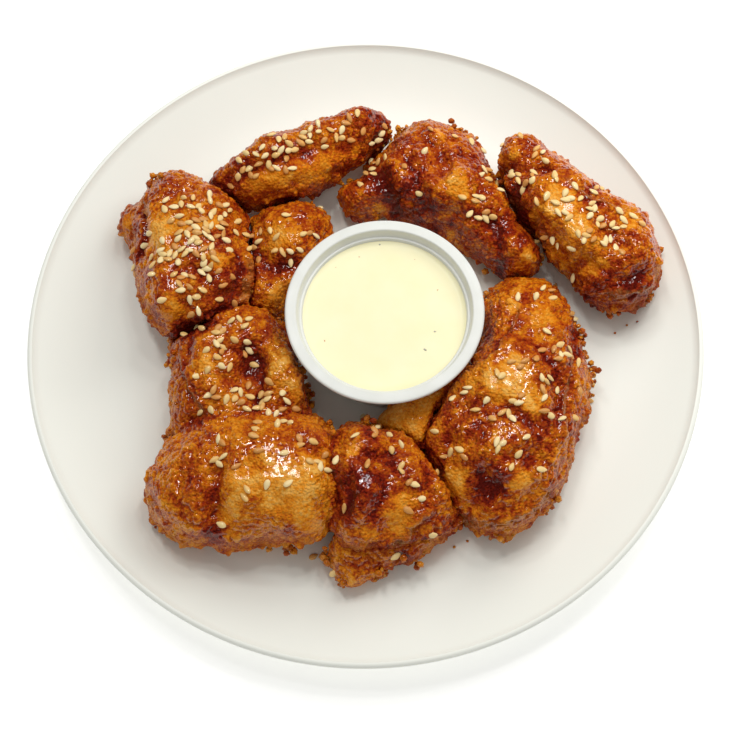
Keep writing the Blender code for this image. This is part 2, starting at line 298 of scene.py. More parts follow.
under_flange = CUP_HEIGHT - FLANGE_THICK
profile = [(0, 0)] + arc((cup_outer(0) - 1.2 * MM, 1.2 * MM), 1.2 * MM, -90, -10, 5)
profile += [(cup_outer(h), h) for h in (3 * MM, 12 * MM, 22 * MM, under_flange - 0.4 * MM)]
profile += [(cup_outer(under_flange) + 0.4 * MM, under_flange)]
profile += arc((RIM_RADIUS - FLANGE_THICK / 2, CUP_HEIGHT - FLANGE_THICK / 2), FLANGE_THICK / 2, -90, 90, 8)
profile += [(RIM_RADIUS - 2.4 * MM, CUP_HEIGHT + 0.02 * MM)]
profile += arc((cup_inner(CUP_HEIGHT) + 0.7 * MM, CUP_HEIGHT - 0.7 * MM), 0.7 * MM, 90, 180, 6)
ledge = CUP_HEIGHT - STEP_DOWN
profile += [(cup_inner(ledge + 0.3 * MM), ledge + 0.3 * MM)]
profile += [(cup_inner(ledge + 0.3 * MM) - 0.3 * MM, ledge)]
profile += [(cup_inner(ledge - 0.1 * MM) + 0.2 * MM, ledge - 0.1 * MM)]
profile += [(cup_inner(h), h) for h in (ledge - 0.5 * MM, 20 * MM, 8 * MM, 2.4 * MM)]
profile += [(cup_inner(1 * MM) - 1.2 * MM, 1.1 * MM), (0, 1.0 * MM)]
cup = turned("portion_cup", profile, 128, (CUP_X, CUP_Y, CUP_FOOT))

plastic, tree, shader = new_material(
    "polypropylene, thin moulded white", Roughness=0.34, IOR=1.49, Subsurface_Weight=0.15
)
shader.inputs["Subsurface Radius"].default_value = (1, 0.95, 0.85)
shader.inputs["Subsurface Scale"].default_value = 2 * MM
where = add(tree, "ShaderNodeTexCoord").outputs["Object"]
cloud = add(tree, "ShaderNodeTexNoise", {"Scale": 1 / (9 * MM), "Detail": 3}, Vector=where)
whites = ramp(tree, cloud.outputs["Fac"], [(0.3, "#DFE0D8"), (0.7, "#E6E7E0")])
tree.links.new(whites, shader.inputs["Base Color"])
cup.data.materials.append(plastic)
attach(cup, "root")
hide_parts("dip_cup")
print("cup", len(cup.data.polygons), "faces")

# %% [markdown]
# ## Noise for sculpting
#
# Fried crust is lumps on lumps, so the wings are pushed about by noise at several real sizes. Two kinds are
# enough: `swell` is a smooth rolling field, and `grains` packs the surface with rounded pebbles. Both work on
# all the points of a mesh at once, in the same order every run.


# %% Noise
def cell_value(cells, seed):
    """A steady pseudo-random number from 0 to 1 for each whole-numbered cell."""
    x, y, z = (cells[:, i].astype(np.int64) for i in range(3))
    n = (x * 73856093) ^ (y * 19349663) ^ (z * 83492791) ^ (seed * 26544357)
    n = (n ^ (n >> 13)) & 0xFFFFFFF
    n = (n * (n * n * 15731 + 789221) + 1376312589) & 0x7FFFFFFF
    return n / 0x7FFFFFFF


def swell(points, size, seed=0):
    """Smooth noise from -1 to 1 whose hills are about size apart."""
    grid = points / size
    cell = np.floor(grid)
    part = grid - cell
    part = part * part * (3 - 2 * part)
    total = np.zeros(len(points))
    for corner in np.ndindex(2, 2, 2):
        weight = np.prod(np.where(corner, part, 1 - part), axis=1)
        total += weight * cell_value(cell + corner, seed)
    return total * 2 - 1


def grains(points, size, seed=0):
    """Packed pebbles: 1 on a pebble's crown and 0 in the cracks between them."""
    grid = points / size
    cell = np.floor(grid)
    nearest = np.full(len(points), 9.0)
    second = np.full(len(points), 9.0)
    for step in np.ndindex(3, 3, 3):
        other = cell + step - 1
        seat = np.stack([cell_value(other, seed + i) for i in (11, 23, 37)], axis=1)
        away = np.linalg.norm(other + 0.1 + 0.8 * seat - grid, axis=1)
        second = np.minimum(second, np.maximum(nearest, away))
        nearest = np.minimum(nearest, away)
    return np.clip((second - nearest) * 1.6, 0, 1) ** 0.6


def fade(value, start, end):
    """0 before start, 1 after end, and a smooth step between them."""
    share = np.clip((value - start) / (end - start), 0, 1)
    return share * share * (3 - 2 * share)


# %% [markdown]
# ## What each wing looks like
#
# A cook would describe a wing by its patches: where the skin is smooth and golden, where the sugar has burnt
# dark, where it is creased or folded. So does this table. Patches are (x, y, radius, tone): a tone below zero
# is paler and above zero darker, and `darker` does the same for a whole wing. Skins are (x, y, radius), smooth
# places with no crumb. Grooves are a path, a depth and a width, and one with a depth below zero is a ridge.
# Folds are skin edges: a path, the height of the step, its width, and the side that stands proud, 1 for the
# left of the path. All are in millimetres on the plate.

# %% Wing notes
NOTES = {
    "wing_11": dict(
        darker=0.07,
        patches=[(-35, 53, 8, -0.06), (-11, 65, 8, 0.04), (1, 81, 4, -0.05), (-44, 53, 5, 0.05),
                 (-23, 58, 5, -0.05), (-4, 63, 5, 0.08), (9, 82, 5, 0.3), (-28, 68, 5, 0.15),
                 (-47, 55, 5, 0.05), (9, 75, 3, 0.25), (-16, 53, 4, 0.15), (-42, 64, 5, 0.08),
                 (-5, 73, 5, 0.05)],
        skins=[(-35, 53, 10), (-11, 65, 8), (-23, 58, 8), (-3, 71, 5)],
        grooves=[([(-50, 59), (-37, 61), (-23, 65), (-7, 71), (3, 75)], 1.6, 4),
                 ([(7, 86), (8, 80), (5, 75)], 1.2, 3), ([(-51, 63), (-52, 56)], 1, 3)],
        folds=[([(-24, 52), (-14, 57), (-3, 63), (4, 68)], 1.2, 4, 1)],
    ),
    "wing_10": dict(
        darker=0.04,
        patches=[(-74, 34, 8, -0.25), (-53, 20, 5, -0.3), (-70, 20, 5, -0.12), (-91, 47, 5, -0.05),
                 (-61, 40, 5, -0.1), (-72, 2, 5, 0.02), (-69, -2, 5, 0.18), (-54, 8, 6, 0.22),
                 (-47, 20, 3, 0.55), (-61, -3, 3, 0.35), (-71, 53, 5, 0.18), (-59, 15, 4, 0.12),
                 (-80, 8, 4, -0.02), (-80, 25, 3, -0.1), (-61, 9, 3, 0.05), (-51, 33, 4, 0.1),
                 (-46, 14, 3, 0.05)],
        skins=[(-76, 34, 7), (-53, 20, 4), (-91, 47, 4), (-71, 3, 5), (-58, 37, 3)],
        grooves=[([(-83, 57), (-83, 44), (-83, 33), (-87, 25)], 2.6, 3),
                 ([(-48, 29), (-47, 20), (-49, 11), (-53, 6)], 2.6, 3),
                 ([(-81, 50), (-77, 35), (-76, 23), (-73, 12)], -1.3, 5),
                 ([(-65, 5), (-68, -1), (-64, -5)], 1.6, 3), ([(-61, 34), (-53, 30), (-49, 33)], 1.2, 3),
                 ([(-72, 15), (-63, 17), (-55, 13)], 1.4, 4)],
        folds=[([(-86, 60), (-81, 44), (-80, 34)], 1.3, 4, 1),
               ([(-45, 28), (-43, 20), (-45, 12), (-49, 7)], 1.8, 4, 1)],
    ),
    "wing_10_inner": dict(
        patches=[(-30, 33, 7, -0.22), (-31, 22, 4, 0.38), (-33, 11, 5, -0.18), (-21, 45, 4, 0.4),
                 (-39, 25, 3, 0.2), (-41, 9, 3, 0.3), (-24, 31, 3, -0.1)],
        skins=[(-30, 32, 5), (-34, 11, 3)],
        grooves=[([(-44, 31), (-34, 22), (-24, 25)], 2.2, 4), ([(-39, 45), (-40, 34), (-42, 28)], 1.2, 3)],
    ),
    "wing_8": dict(
        patches=[(-62, -3, 5, 0.6), (-59, -21, 5, -0.3), (-63, -15, 3, 0.05), (-31, -19, 5, -0.4),
                 (-28, -28, 5, 0.1), (-43, -20, 4, 0.48), (-44, -13, 5, 0.25), (-52, -33, 5, -0.08),
                 (-57, -12, 4, 0.15), (-35, -3, 5, 0.12), (-49, -7, 4, 0.02), (-70, -44, 4, 0.12),
                 (-30, -35, 3, 0.1), (-43, -27, 3, 0.2), (-38, -11, 3, 0.15), (-72, -14, 3, 0.28),
                 (-65, -32, 4, 0.2)],
        skins=[(-59, -21, 4), (-30, -19, 3), (-27, -29, 3), (-51, -33, 3)],
        grooves=[([(-67, -4), (-57, -2)], 4.5, 3), ([(-41, -13), (-39, -21), (-39, -30), (-41, -38)], 3, 4),
                 ([(-44, -11), (-43, -18), (-45, -24)], 2.4, 4),
                 ([(-34, -15), (-29, -26), (-26, -35)], -2, 4), ([(-67, -40), (-64, -40), (-58, -38)], 2, 3),
                 ([(-65, -10), (-67, -22), (-61, -35)], 1.5, 3),
                 ([(-56, -12), (-51, -15), (-46, -14)], 1.2, 3),
                 ([(-55, -25), (-50, -27), (-45, -25)], 1, 3), ([(-29, -4), (-25, -19), (-22, -33)], 2, 3)],
        folds=[([(-69, -8), (-68, -20), (-63, -31), (-59, -39)], 1.6, 4, 1),
               ([(-32, -7), (-28, -17), (-25, -28), (-24, -36)], 1.8, 4, -1)],
    ),
    "wing_7": dict(
        darker=-0.04,
        patches=[(-30, -70, 12, -0.26), (-44, -65, 8, -0.22), (-50, -75, 6, -0.2), (-21, -64, 6, -0.22),
                 (-25, -80, 8, -0.2), (-43, -76, 3, -0.42), (-36, -69, 3, -0.12), (-63, -61, 5, 0.14),
                 (-59, -71, 5, 0.1), (-71, -71, 5, -0.15), (-67, -79, 5, -0.1), (-73, -63, 4, -0.15),
                 (-19, -49, 5, 0.3), (-14, -54, 4, 0.12), (-46, -51, 5, -0.06), (-51, -56, 5, -0.02),
                 (-57, -80, 3, 0.38), (-42, -83, 4, 0.05), (-30, -85, 5, 0.1), (-59, -51, 4, 0.14)],
        skins=[(-30, -71, 10), (-44, -66, 7), (-23, -80, 6), (-21, -61, 5), (-49, -75, 4)],
        grooves=[([(-52, -57), (-55, -65), (-55, -73), (-58, -82)], 2.4, 4),
                 ([(-25, -52), (-20, -57), (-14, -58)], 1.6, 3),
                 ([(-48, -59), (-38, -63), (-30, -61)], 1, 4),
                 ([(-68, -60), (-69, -69), (-66, -76)], 1.2, 3),
                 ([(-43, -55), (-25, -64), (-16, -73)], -1.2, 6),
                 ([(-35, -67), (-32, -74), (-35, -78)], 0.8, 3)],
    ),
    "wing_6": dict(
        darker=0.02,
        patches=[(-3, -70, 8, 0.42), (9, -61, 5, 0.38), (0, -51, 4, 0.42), (-6, -56, 4, -0.22),
                 (10, -77, 8, -0.18), (4, -82, 5, -0.1), (-8, -83, 4, 0.05), (18, -67, 3, 0.3),
                 (21, -75, 3, 0.05), (-5, -86, 4, -0.12), (0, -83, 3, 0.12)],
        skins=[(9, -78, 6), (-6, -57, 3), (0, -85, 3)],
        grooves=[([(-5, -57), (3, -59), (11, -55)], 1.8, 3), ([(-9, -64), (-7, -73), (-10, -80)], 1.6, 3),
                 ([(5, -66), (3, -75), (-1, -82)], 1.4, 3), ([(11, -56), (16, -63), (19, -71)], -1.4, 4),
                 ([(19, -61), (20, -69), (22, -74)], 1.6, 3)],
        folds=[([(-12, -86), (-5, -88), (2, -88), (9, -85), (15, -82), (24, -77)], 2, 4, 1)],
    ),
    "wing_6_under": dict(
        patches=[(-8, -98, 4, -0.25), (-15, -90, 3, -0.15), (0, -93, 5, 0.1), (11, -89, 5, 0.15),
                 (19, -87, 4, -0.05)],
        skins=[(-8, -98, 2)],
        grooves=[([(-12, -91), (-5, -94), (4, -92)], 1, 3), ([(8, -89), (13, -93)], 1.4, 3)],
    ),
    "wing_5": dict(
        patches=[(12, -39, 9, -0.22), (23, -33, 6, -0.18), (29, -29, 4, 0.05), (13, -46, 3, 0.1)],
        skins=[(14, -39, 12)],
        grooves=[([(12, -32), (21, -39), (23, -42)], 0.8, 4)],
    ),
    "wing_4": dict(
        patches=[(48, -35, 6, -0.48), (60, -42, 5, -0.38), (46, -29, 5, -0.38), (55, -29, 5, -0.25),
                 (55, -1, 5, -0.2), (66, -3, 6, -0.02), (69, -13, 5, -0.02), (49, -1, 3, 0.22),
                 (79, 6, 4, 0.15), (46, -9, 3, 0.28), (37, -45, 7, 0.1), (47, -46, 5, 0.18),
                 (61, -51, 7, 0.22), (55, -60, 6, 0.1), (40, -51, 3, 0.35), (30, -66, 6, -0.22),
                 (53, -69, 5, -0.12), (43, -70, 5, 0.45), (46, -55, 3, -0.4), (38, -58, 2, -0.25),
                 (59, -65, 3, 0.1), (72, -20, 3, 0.15), (76, -33, 4, 0.05), (79, -9, 3, 0.3),
                 (74, -49, 3, 0.3), (53, -75, 5, -0.1), (39, -78, 5, -0.12), (30, -74, 4, -0.2),
                 (64, -71, 3, 0.2), (45, -82, 3, 0.15), (55, -19, 3, 0.12)],
        skins=[(48, -35, 6), (60, -42, 4), (54, -27, 5), (30, -67, 5), (53, -69, 4), (55, -1, 3),
               (66, -6, 5), (46, -55, 2), (83, -26, 2)],
        grooves=[([(62, 6), (56, -7), (52, -15)], 1.8, 4),
                 ([(61, -18), (69, -28), (70, -40), (68, -49)], 2.6, 4),
                 ([(37, -40), (47, -41), (56, -47), (63, -51)], 1.8, 4),
                 ([(36, -64), (42, -70), (46, -74)], 3, 5), ([(48, -62), (53, -61), (61, -62)], 1.4, 4),
                 ([(48, -31), (55, -37), (62, -44)], -1.4, 7), ([(81, 6), (80, -8), (76, -19)], 1.8, 3),
                 ([(29, -49), (27, -57), (22, -64)], 1.4, 3), ([(38, -72), (35, -77)], 1.4, 3),
                 ([(57, -72), (53, -78)], 1, 3), ([(83, -13), (75, -23), (73, -39)], 2.2, 3),
                 ([(64, -64), (67, -56), (69, -50)], -1, 4)],
        folds=[([(60, 5), (56, -9), (49, -20), (40, -26), (31, -32), (24, -37)], 2, 5, 1),
               ([(76, -16), (73, -34), (71, -47), (69, -58)], 1.8, 4, -1),
               ([(25, -71), (30, -75), (38, -80), (48, -81), (57, -78), (64, -71), (69, -62)], 1.4, 4, 1)],
    ),
    "wing_2": dict(
        darker=0.03,
        patches=[(76, 41, 6, -0.16), (79, 33, 6, -0.14), (71, 36, 5, -0.1), (86, 25, 5, -0.16),
                 (61, 63, 3, -0.05), (67, 65, 3, 0.05), (69, 60, 3, -0.12), (60, 48, 4, 0.5),
                 (59, 57, 3, 0.25), (88, 13, 5, -0.16), (93, 19, 5, -0.02), (103, 7, 5, 0.28),
                 (110, 5, 4, 0.2), (100, 30, 5, -0.1), (80, 18, 3, -0.35), (73, 27, 5, 0.08),
                 (88, 8, 5, 0.35), (92, 0, 3, 0.4), (100, 14, 4, -0.15), (91, 38, 4, 0.02),
                 (80, 49, 3, 0.05), (94, 6, 3, 0.12), (106, 25, 3, 0.05)],
        skins=[(77, 39, 7), (83, 29, 5), (88, 13, 4), (102, 30, 3), (80, 18, 2), (61, 63, 2)],
        grooves=[([(56, 62), (63, 56), (70, 54), (76, 54)], 2.2, 3),
                 ([(63, 50), (62, 44), (66, 37), (72, 30)], 1.6, 3),
                 ([(77, 47), (86, 40), (95, 38)], 1.6, 3),
                 ([(76, 17), (84, 16), (93, 12), (100, 14)], 1.6, 3),
                 ([(93, 7), (100, 9), (109, 13)], 2.2, 3), ([(91, 29), (97, 23), (104, 18)], 1, 3),
                 ([(71, 41), (79, 30), (90, 19)], -1.3, 6), ([(61, 67), (62, 62)], -1.2, 5),
                 ([(86, 41), (91, 49)], 1.6, 3)],
        folds=[([(76, 52), (82, 44), (90, 40), (97, 38), (104, 37)], 1.3, 4, -1),
               ([(91, 6), (98, 5), (108, 7), (113, 11)], 1.8, 4, 1),
               ([(76, 10), (83, 2), (90, -2)], 1.4, 3, 1)],
    ),
    "wing_1": dict(
        darker=0.08,
        patches=[(39, 50, 6, -0.48), (35, 43, 3, -0.3), (34, 73, 5, -0.1), (33, 77, 3, -0.3),
                 (0, 53, 5, 0.12), (10, 49, 3, -0.4), (16, 50, 4, 0.42), (8, 57, 5, 0.4),
                 (14, 61, 3, -0.22), (7, 63, 2, -0.15), (21, 72, 5, 0.12), (28, 62, 5, 0.1),
                 (24, 53, 4, 0.25), (48, 65, 5, 0.12), (54, 35, 5, 0.36), (58, 27, 4, 0.22),
                 (63, 22, 3, -0.15), (61, 20, 4, 0.05), (42, 36, 5, -0.02), (35, 38, 3, -0.22),
                 (27, 42, 5, 0.12), (69, 23, 3, 0.4), (54, 21, 3, 0.4), (38, 29, 4, -0.02),
                 (51, 73, 3, -0.05)],
        skins=[(39, 49, 5), (10, 49, 3), (32, 75, 2), (63, 23, 3), (34, 38, 3), (14, 61, 2), (1, 53, 2)],
        grooves=[([(5, 68), (10, 54), (14, 48), (15, 41)], 2.8, 4),
                 ([(17, 67), (21, 58), (23, 49), (29, 42)], 2.2, 4),
                 ([(31, 67), (34, 59), (31, 52)], 1.4, 3), ([(47, 61), (47, 48), (44, 42)], 1.4, 3),
                 ([(49, 39), (53, 31), (53, 24)], 2.4, 4), ([(31, 41), (39, 39), (48, 40)], 1.6, 4),
                 ([(25, 74), (32, 69), (41, 74)], 1.2, 3), ([(55, 29), (61, 23), (66, 21)], -1.4, 5),
                 ([(-4, 56), (3, 52)], -1, 4), ([(41, 67), (43, 59)], 1.2, 3),
                 ([(19, 47), (25, 36)], 1.6, 3)],
    ),
}
print("patches on all wings:", sum(len(note["patches"]) for note in NOTES.values()))

# %% [markdown]
# ## From solid to wing
#
# A modeller would block out the wing, remesh it into small even faces and then sculpt. The frame's solid is
# the block. Merging its points and a coarse voxel remesh melt the facets away, and smoothing rounds what is
# left. A fine remesh then gives points about half a millimetre apart, close enough to carry grains of crust.


# %% Remeshing
FINE = 0.52 * MM
CROWN = cad_box[1][2] / MM - 3.2  # above this height, peaks are pressed down, so that seeds on them still fit


def remeshed(obj, voxel, smooth):
    """The object's mesh after a voxel remesh and some smoothing."""
    obj.modifiers.clear()
    even = obj.modifiers.new("even faces", "REMESH")
    even.mode = "VOXEL"
    even.voxel_size = voxel
    soften = obj.modifiers.new("melt the steps", "SMOOTH")
    soften.factor = 0.5
    soften.iterations = smooth
    graph = bpy.context.evaluated_depsgraph_get()
    mesh = bpy.data.meshes.new_from_object(obj.evaluated_get(graph))
    obj.modifiers.clear()
    obj.data = mesh
    return obj


def block_out(node):
    """A merged copy of a frame solid, melted to a soft lump."""
    bm = bmesh.new()
    bm.from_mesh(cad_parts[node].data)
    bmesh.ops.remove_doubles(bm, verts=bm.verts, dist=0.01 * MM)
    bmesh.ops.recalc_face_normals(bm, faces=bm.faces)
    lump = finish_piece(f"glazed_{node}", bm, 180)
    return remeshed(lump, 1.6 * MM, 5)


def read_points(mesh):
    """Points and their outward directions."""
    points = np.empty(len(mesh.vertices) * 3)
    mesh.vertices.foreach_get("co", points)
    normals = np.empty(len(mesh.vertices) * 3)
    mesh.vertex_normals.foreach_get("vector", normals)
    return points.reshape(-1, 3), normals.reshape(-1, 3)


def write_points(mesh, points):
    """Puts moved points back."""
    mesh.vertices.foreach_set("co", points.ravel())
    mesh.update()


def write_note(mesh, name, values):
    """Stores one number for each point, for the material to read."""
    layer = mesh.attributes.new(name, "FLOAT", "POINT")
    layer.data.foreach_set("value", values.astype(np.float32))


# %% [markdown]
# ## Sculpting
#
# First come the big forms: rolling flesh, creases, knobs and the stepped edges where skin folds over. Then
# comes the crust: batter lumps under 4 mm across, grains of 1.5 mm, and crags on the sides, where batter
# gathers. Smooth skin gets little of these. The sculptor also notes the tone of each point, how dry or wet it
# is, and how deep it lies in a crack; the material paints cracks darker, as painted shade and glaze pooled
# there. Where another wing is close, the surface draws back from it and its tone is painted darker, as painted
# shade in the gap with sauce gathered there. Between pieces that fried together it closes up instead, and is
# painted darker the same way.


# %% Sculpting tools
LUMP, GRAIN, CRAG = 3.6 * MM, 1.5 * MM, 5.5 * MM


def blot(plan, x, y, radius):
    """1 at a place on the plate, falling away smoothly round it, whatever the height."""
    return np.exp(-((plan[:, 0] - x) ** 2 + (plan[:, 1] - y) ** 2) / radius**2)


def ragged_plan(points, seed):
    """Each point's place on the plate in millimetres, pushed about so that blots get ragged edges."""
    shift = [
        2.6 * swell(points, 6 * MM, seed + i) + 1.3 * swell(points, 2.4 * MM, seed + 2 + i) for i in (50, 60)
    ]
    return points[:, :2] / MM + np.stack(shift, axis=1)


def beside_path(plan, path):
    """For each point: its distance from a path, negative on the right, and its share of the way along."""
    best = np.full(len(plan), 99.0)
    signed = np.zeros(len(plan))
    reach = np.zeros(len(plan))
    for number, (a, b) in enumerate(zip(path, path[1:])):
        start, along = np.array(a), np.array(b) - np.array(a)
        t = np.clip(((plan - start) @ along) / (along @ along), 0, 1)
        offset = plan - start - t[:, None] * along
        away = np.linalg.norm(offset, axis=1)
        left = np.sign(along[0] * offset[:, 1] - along[1] * offset[:, 0])
        closer = away < best
        best = np.where(closer, away, best)
        signed = np.where(closer, away * left, signed)
        reach = np.where(closer, (number + t) / (len(path) - 1), reach)
    return signed, fade(reach, 0, 0.2) * (1 - fade(reach, 0.8, 1))


def groove(points, path, width):
    """1 along a path, falling away over width, with slightly wandering banks."""
    signed, reach = beside_path(points[:, :2] / MM + 0.7 * swell(points, 5 * MM, 81)[:, None], path)
    return np.exp(-((signed / width) ** 2)) * (0.35 + 0.65 * reach)


def fold_step(points, path, height, width, side):
    """The rise of a skin edge: steep on one side of a path, sloping off over width on the other."""
    signed, reach = beside_path(points[:, :2] / MM, path)
    ragged = signed * side + 1.1 * swell(points, 4 * MM, 71) + 0.5 * swell(points, 1.5 * MM, 72)
    rise = fade(ragged, -0.5, 0.3) * (1 - fade(ragged, 0.3, width))
    return height * rise * reach, fade(-np.abs(ragged), -1.2, -0.3) * reach


def sculpt_form(obj, note, seed):
    """Rolling flesh, creases and knobs on the melted lump."""
    points, normals = read_points(obj.data)
    lift = 0.5 + 1.4 * swell(points, 12 * MM, seed) + 1.0 * swell(points, 6 * MM, seed + 1)
    top = fade(normals[:, 2], -0.2, 0.3)
    for path, depth, width in note["grooves"]:
        lift -= 1.15 * depth * groove(points, path, 0.8 * width) * top
    write_points(obj.data, points + normals * (lift * MM)[:, None])


def nearness(points, node):
    """1 within a millimetre of another wing, 0 beyond three, and below 0 in the same way by a stuck one."""
    close = np.zeros(len(points))
    for other in WINGS:
        low, high = (np.array(corner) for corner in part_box(other))
        near = np.nonzero(((points > low - 3 * MM) & (points < high + 3 * MM)).all(axis=1))[0]
        if other == node or not len(near):
            continue
        for index in near:
            away = BLOCKS[other].find_nearest(points[index], 3 * MM)[3]
            if away is not None:
                touch = 1 - max(0, away / MM - 1) / 2
                close[index] = -touch if {node, other} in STUCK else max(close[index], touch)
    return close


def sculpt_crust(obj, note, seed, close):
    """Crust, crags and skin edges on the fine mesh, and the notes for the material."""
    points, normals = read_points(obj.data)
    plan = ragged_plan(points, seed)
    up = normals[:, 2]
    skin = np.zeros(len(points))
    for x, y, radius in note["skins"]:
        skin = np.maximum(skin, blot(plan, x, y, 1.1 * radius))
    skin = fade(skin, 0.3, 0.75) * fade(up, 0.2, 0.6)
    side = 1 - fade(up, 0.05, 0.55)
    lumps = grains(points + 0.5 * MM * swell(points, 2 * MM, seed + 9)[:, None], LUMP, seed + 2)
    fine = grains(points, GRAIN, seed + 3)
    batter = fade(swell(points, 4.5 * MM, seed + 4) + 0.35 * swell(points, 2 * MM, seed + 6), 0.0, 0.7)
    crust = 1 - 0.8 * skin
    lift = 0.6 * (lumps - 0.6) * crust
    lift += 0.42 * (fine - 0.6) * (1 - 0.92 * skin) * (1 - 0.45 * side)
    lift += batter * side * (0.3 + 0.9 * lumps)
    crags = fade(swell(points, 8 * MM, seed + 12), 0.0, 0.5) * grains(points, CRAG, seed + 13)
    lift += 1.3 * crags * (1 - fade(up, 0.3, 0.75)) - np.where(close > 0, 0.9, 1.3) * close
    lift += 0.5 * batter * crust * lumps
    edge = np.zeros(len(points))
    for path, height, width, proud in note.get("folds", ()):
        rise, rim = fold_step(points, path, height, width, proud)
        lift += rise * fade(up, -0.2, 0.2)
        edge = np.maximum(edge, rim * fade(up, -0.2, 0.2))
    underneath = fade(-up, 0.5, 0.9)
    moved = points + normals * (lift * (1 - underneath) * MM)[:, None]
    above = np.maximum(moved[:, 2] / MM - CROWN, 0)
    moved[:, 2] -= (above - above / (1 + above / 2.6)) * MM
    write_points(obj.data, moved)

    tone = 0.40 + note.get("darker", 0)
    tone += 0.10 * swell(points, 9 * MM, seed + 7) + 0.17 * swell(points, 3.2 * MM, seed + 8)
    # Grooves are painted darker and ridges paler: painted shade in the creases, painted light on the ridges.
    for path, depth, width in note["grooves"]:
        tone += 0.13 * depth * groove(points, path, 0.6 * width)
    paler, darker = np.zeros(len(points)), np.zeros(len(points))
    for x, y, radius, shift in note["patches"]:
        spot = shift * blot(plan, x, y, 1.15 * radius)
        paler, darker = np.minimum(paler, spot), np.maximum(darker, spot)
    tone += 0.55 * paler + 0.85 * darker
    # Near another wing, and where wings are stuck together, the tone is painted darker: painted shade in the
    # gap, with sauce gathered there.
    tone += 0.05 * (1 - skin) - 0.06 * skin + 0.3 * np.abs(close)
    # hollow is how deep a point lies in the cracks between grains and lumps; the material paints it darker, as
    # painted shade and glaze pooled there.
    hollow = np.clip((1 - fine) * (1 - 0.4 * skin) * 0.7 + (1 - lumps) * crust * 0.5, 0, 1)
    dry = np.clip(side * fade(swell(points, 4 * MM, seed + 9), 0.0, 0.6) * 0.25 + 0.6 * edge, 0, 1)
    write_note(obj.data, "tone", np.clip(tone, 0.08, 0.95))
    write_note(obj.data, "hollow", hollow)
    write_note(obj.data, "dry", dry)
    write_note(obj.data, "skin", skin)
    write_note(obj.data, "wet", (1 - 0.88 * side) * (1 - 0.7 * skin))


# %% [markdown]
# ## Glazed chicken
#
# The skin is battered, deep fried and tossed in a sugar and soy glaze that has set to a sticky film. Thin, it
# is clear gold over pale skin. Thick, it goes amber, then burgundy, then nearly black where the sugar caught.
# So one ramp runs through all those colours and the sculptor's tone picks the place. The film is a clear coat
# over a duller crust. Its IOR is a little over 1.5, as sugar glass has, so it glints hard and white.

# %% Glazed chicken material
chicken, tree, shader = new_material(
    "chicken skin, fried and glazed", IOR=1.2, Coat_Weight=1.0, Coat_Roughness=0.08, Coat_IOR=1.55,
    Subsurface_Weight=0.08,
)
shader.inputs["Subsurface Radius"].default_value = (1.0, 0.35, 0.12)
shader.inputs["Subsurface Scale"].default_value = 1.6 * MM
where = add(tree, "ShaderNodeTexCoord").outputs["Object"]
tone, hollow, dry, skin, wet = (
    add(tree, "ShaderNodeAttribute", {"attribute_name": name}).outputs["Fac"]
    for name in ("tone", "hollow", "dry", "skin", "wet")
)
tree.links.new(wet, shader.inputs["Coat Weight"])
speckle, stain = (
    add(tree, "ShaderNodeTexNoise", {"Scale": 1 / size, "Detail": detail, "Roughness": rough}, Vector=where)
    for size, detail, rough in ((1.5 * MM, 3, 0.65), (4.5 * MM, 4, 0.7))
)
mottle = tone
# hollow darkens the colour: painted shade in the cracks, and glaze pooled there.
for share, source in ((0.9, speckle.outputs["Fac"]), (0.8, stain.outputs["Fac"]), (0.34, hollow)):
    more = add(tree, "ShaderNodeMath", {"operation": "MULTIPLY_ADD", 1: share}, i0=source, i2=mottle)
    mottle = more.outputs[0]
mottle = add(tree, "ShaderNodeMath", {"operation": "SUBTRACT", 1: 0.95}, i0=mottle).outputs[0]
glaze_colour = ramp(tree, mottle, [
    (0.04, "#F0B050"), (0.20, "#EA982A"), (0.40, "#E0820F"), (0.56, "#C8620A"), (0.72, "#A83C08"),
    (0.88, "#8C2006"), (1.0, "#641206"),
])
crumb_browns = [(0.35, "#8A4014"), (0.5, "#B86A26"), (0.65, "#DCA05A")]
crumb_colour = ramp(tree, speckle.outputs["Fac"], crumb_browns)
colour = add(tree, "ShaderNodeMix", {"data_type": "RGBA"}, i0=dry, i6=glaze_colour, i7=crumb_colour)
tree.links.new(colour.outputs[2], shader.inputs["Base Color"])
sheen = add(tree, "ShaderNodeMapRange", {"To Min": 0.28, "To Max": 0.60}, Value=stain.outputs["Fac"])
tree.links.new(sheen.outputs["Result"], shader.inputs["Roughness"])
pimples = add(tree, "ShaderNodeTexNoise", {"Scale": 1 / (0.8 * MM), "Detail": 2}, Vector=where)
beads = add(tree, "ShaderNodeTexVoronoi", {"Scale": 1 / (1.1 * MM), "feature": "F1"}, Vector=where)
rough_skin = add(
    tree, "ShaderNodeMath", {"operation": "SUBTRACT"}, i0=pimples.outputs["Fac"], i1=beads.outputs["Distance"]
)
calm = add(tree, "ShaderNodeMapRange", {"To Min": 1.0, "To Max": 0.85}, Value=skin)
strength = calm.outputs["Result"]
bump = add(tree, "ShaderNodeBump", {"Distance": 0.75 * MM}, Height=rough_skin.outputs[0], Strength=strength)
tree.links.new(bump.outputs["Normal"], shader.inputs["Normal"])

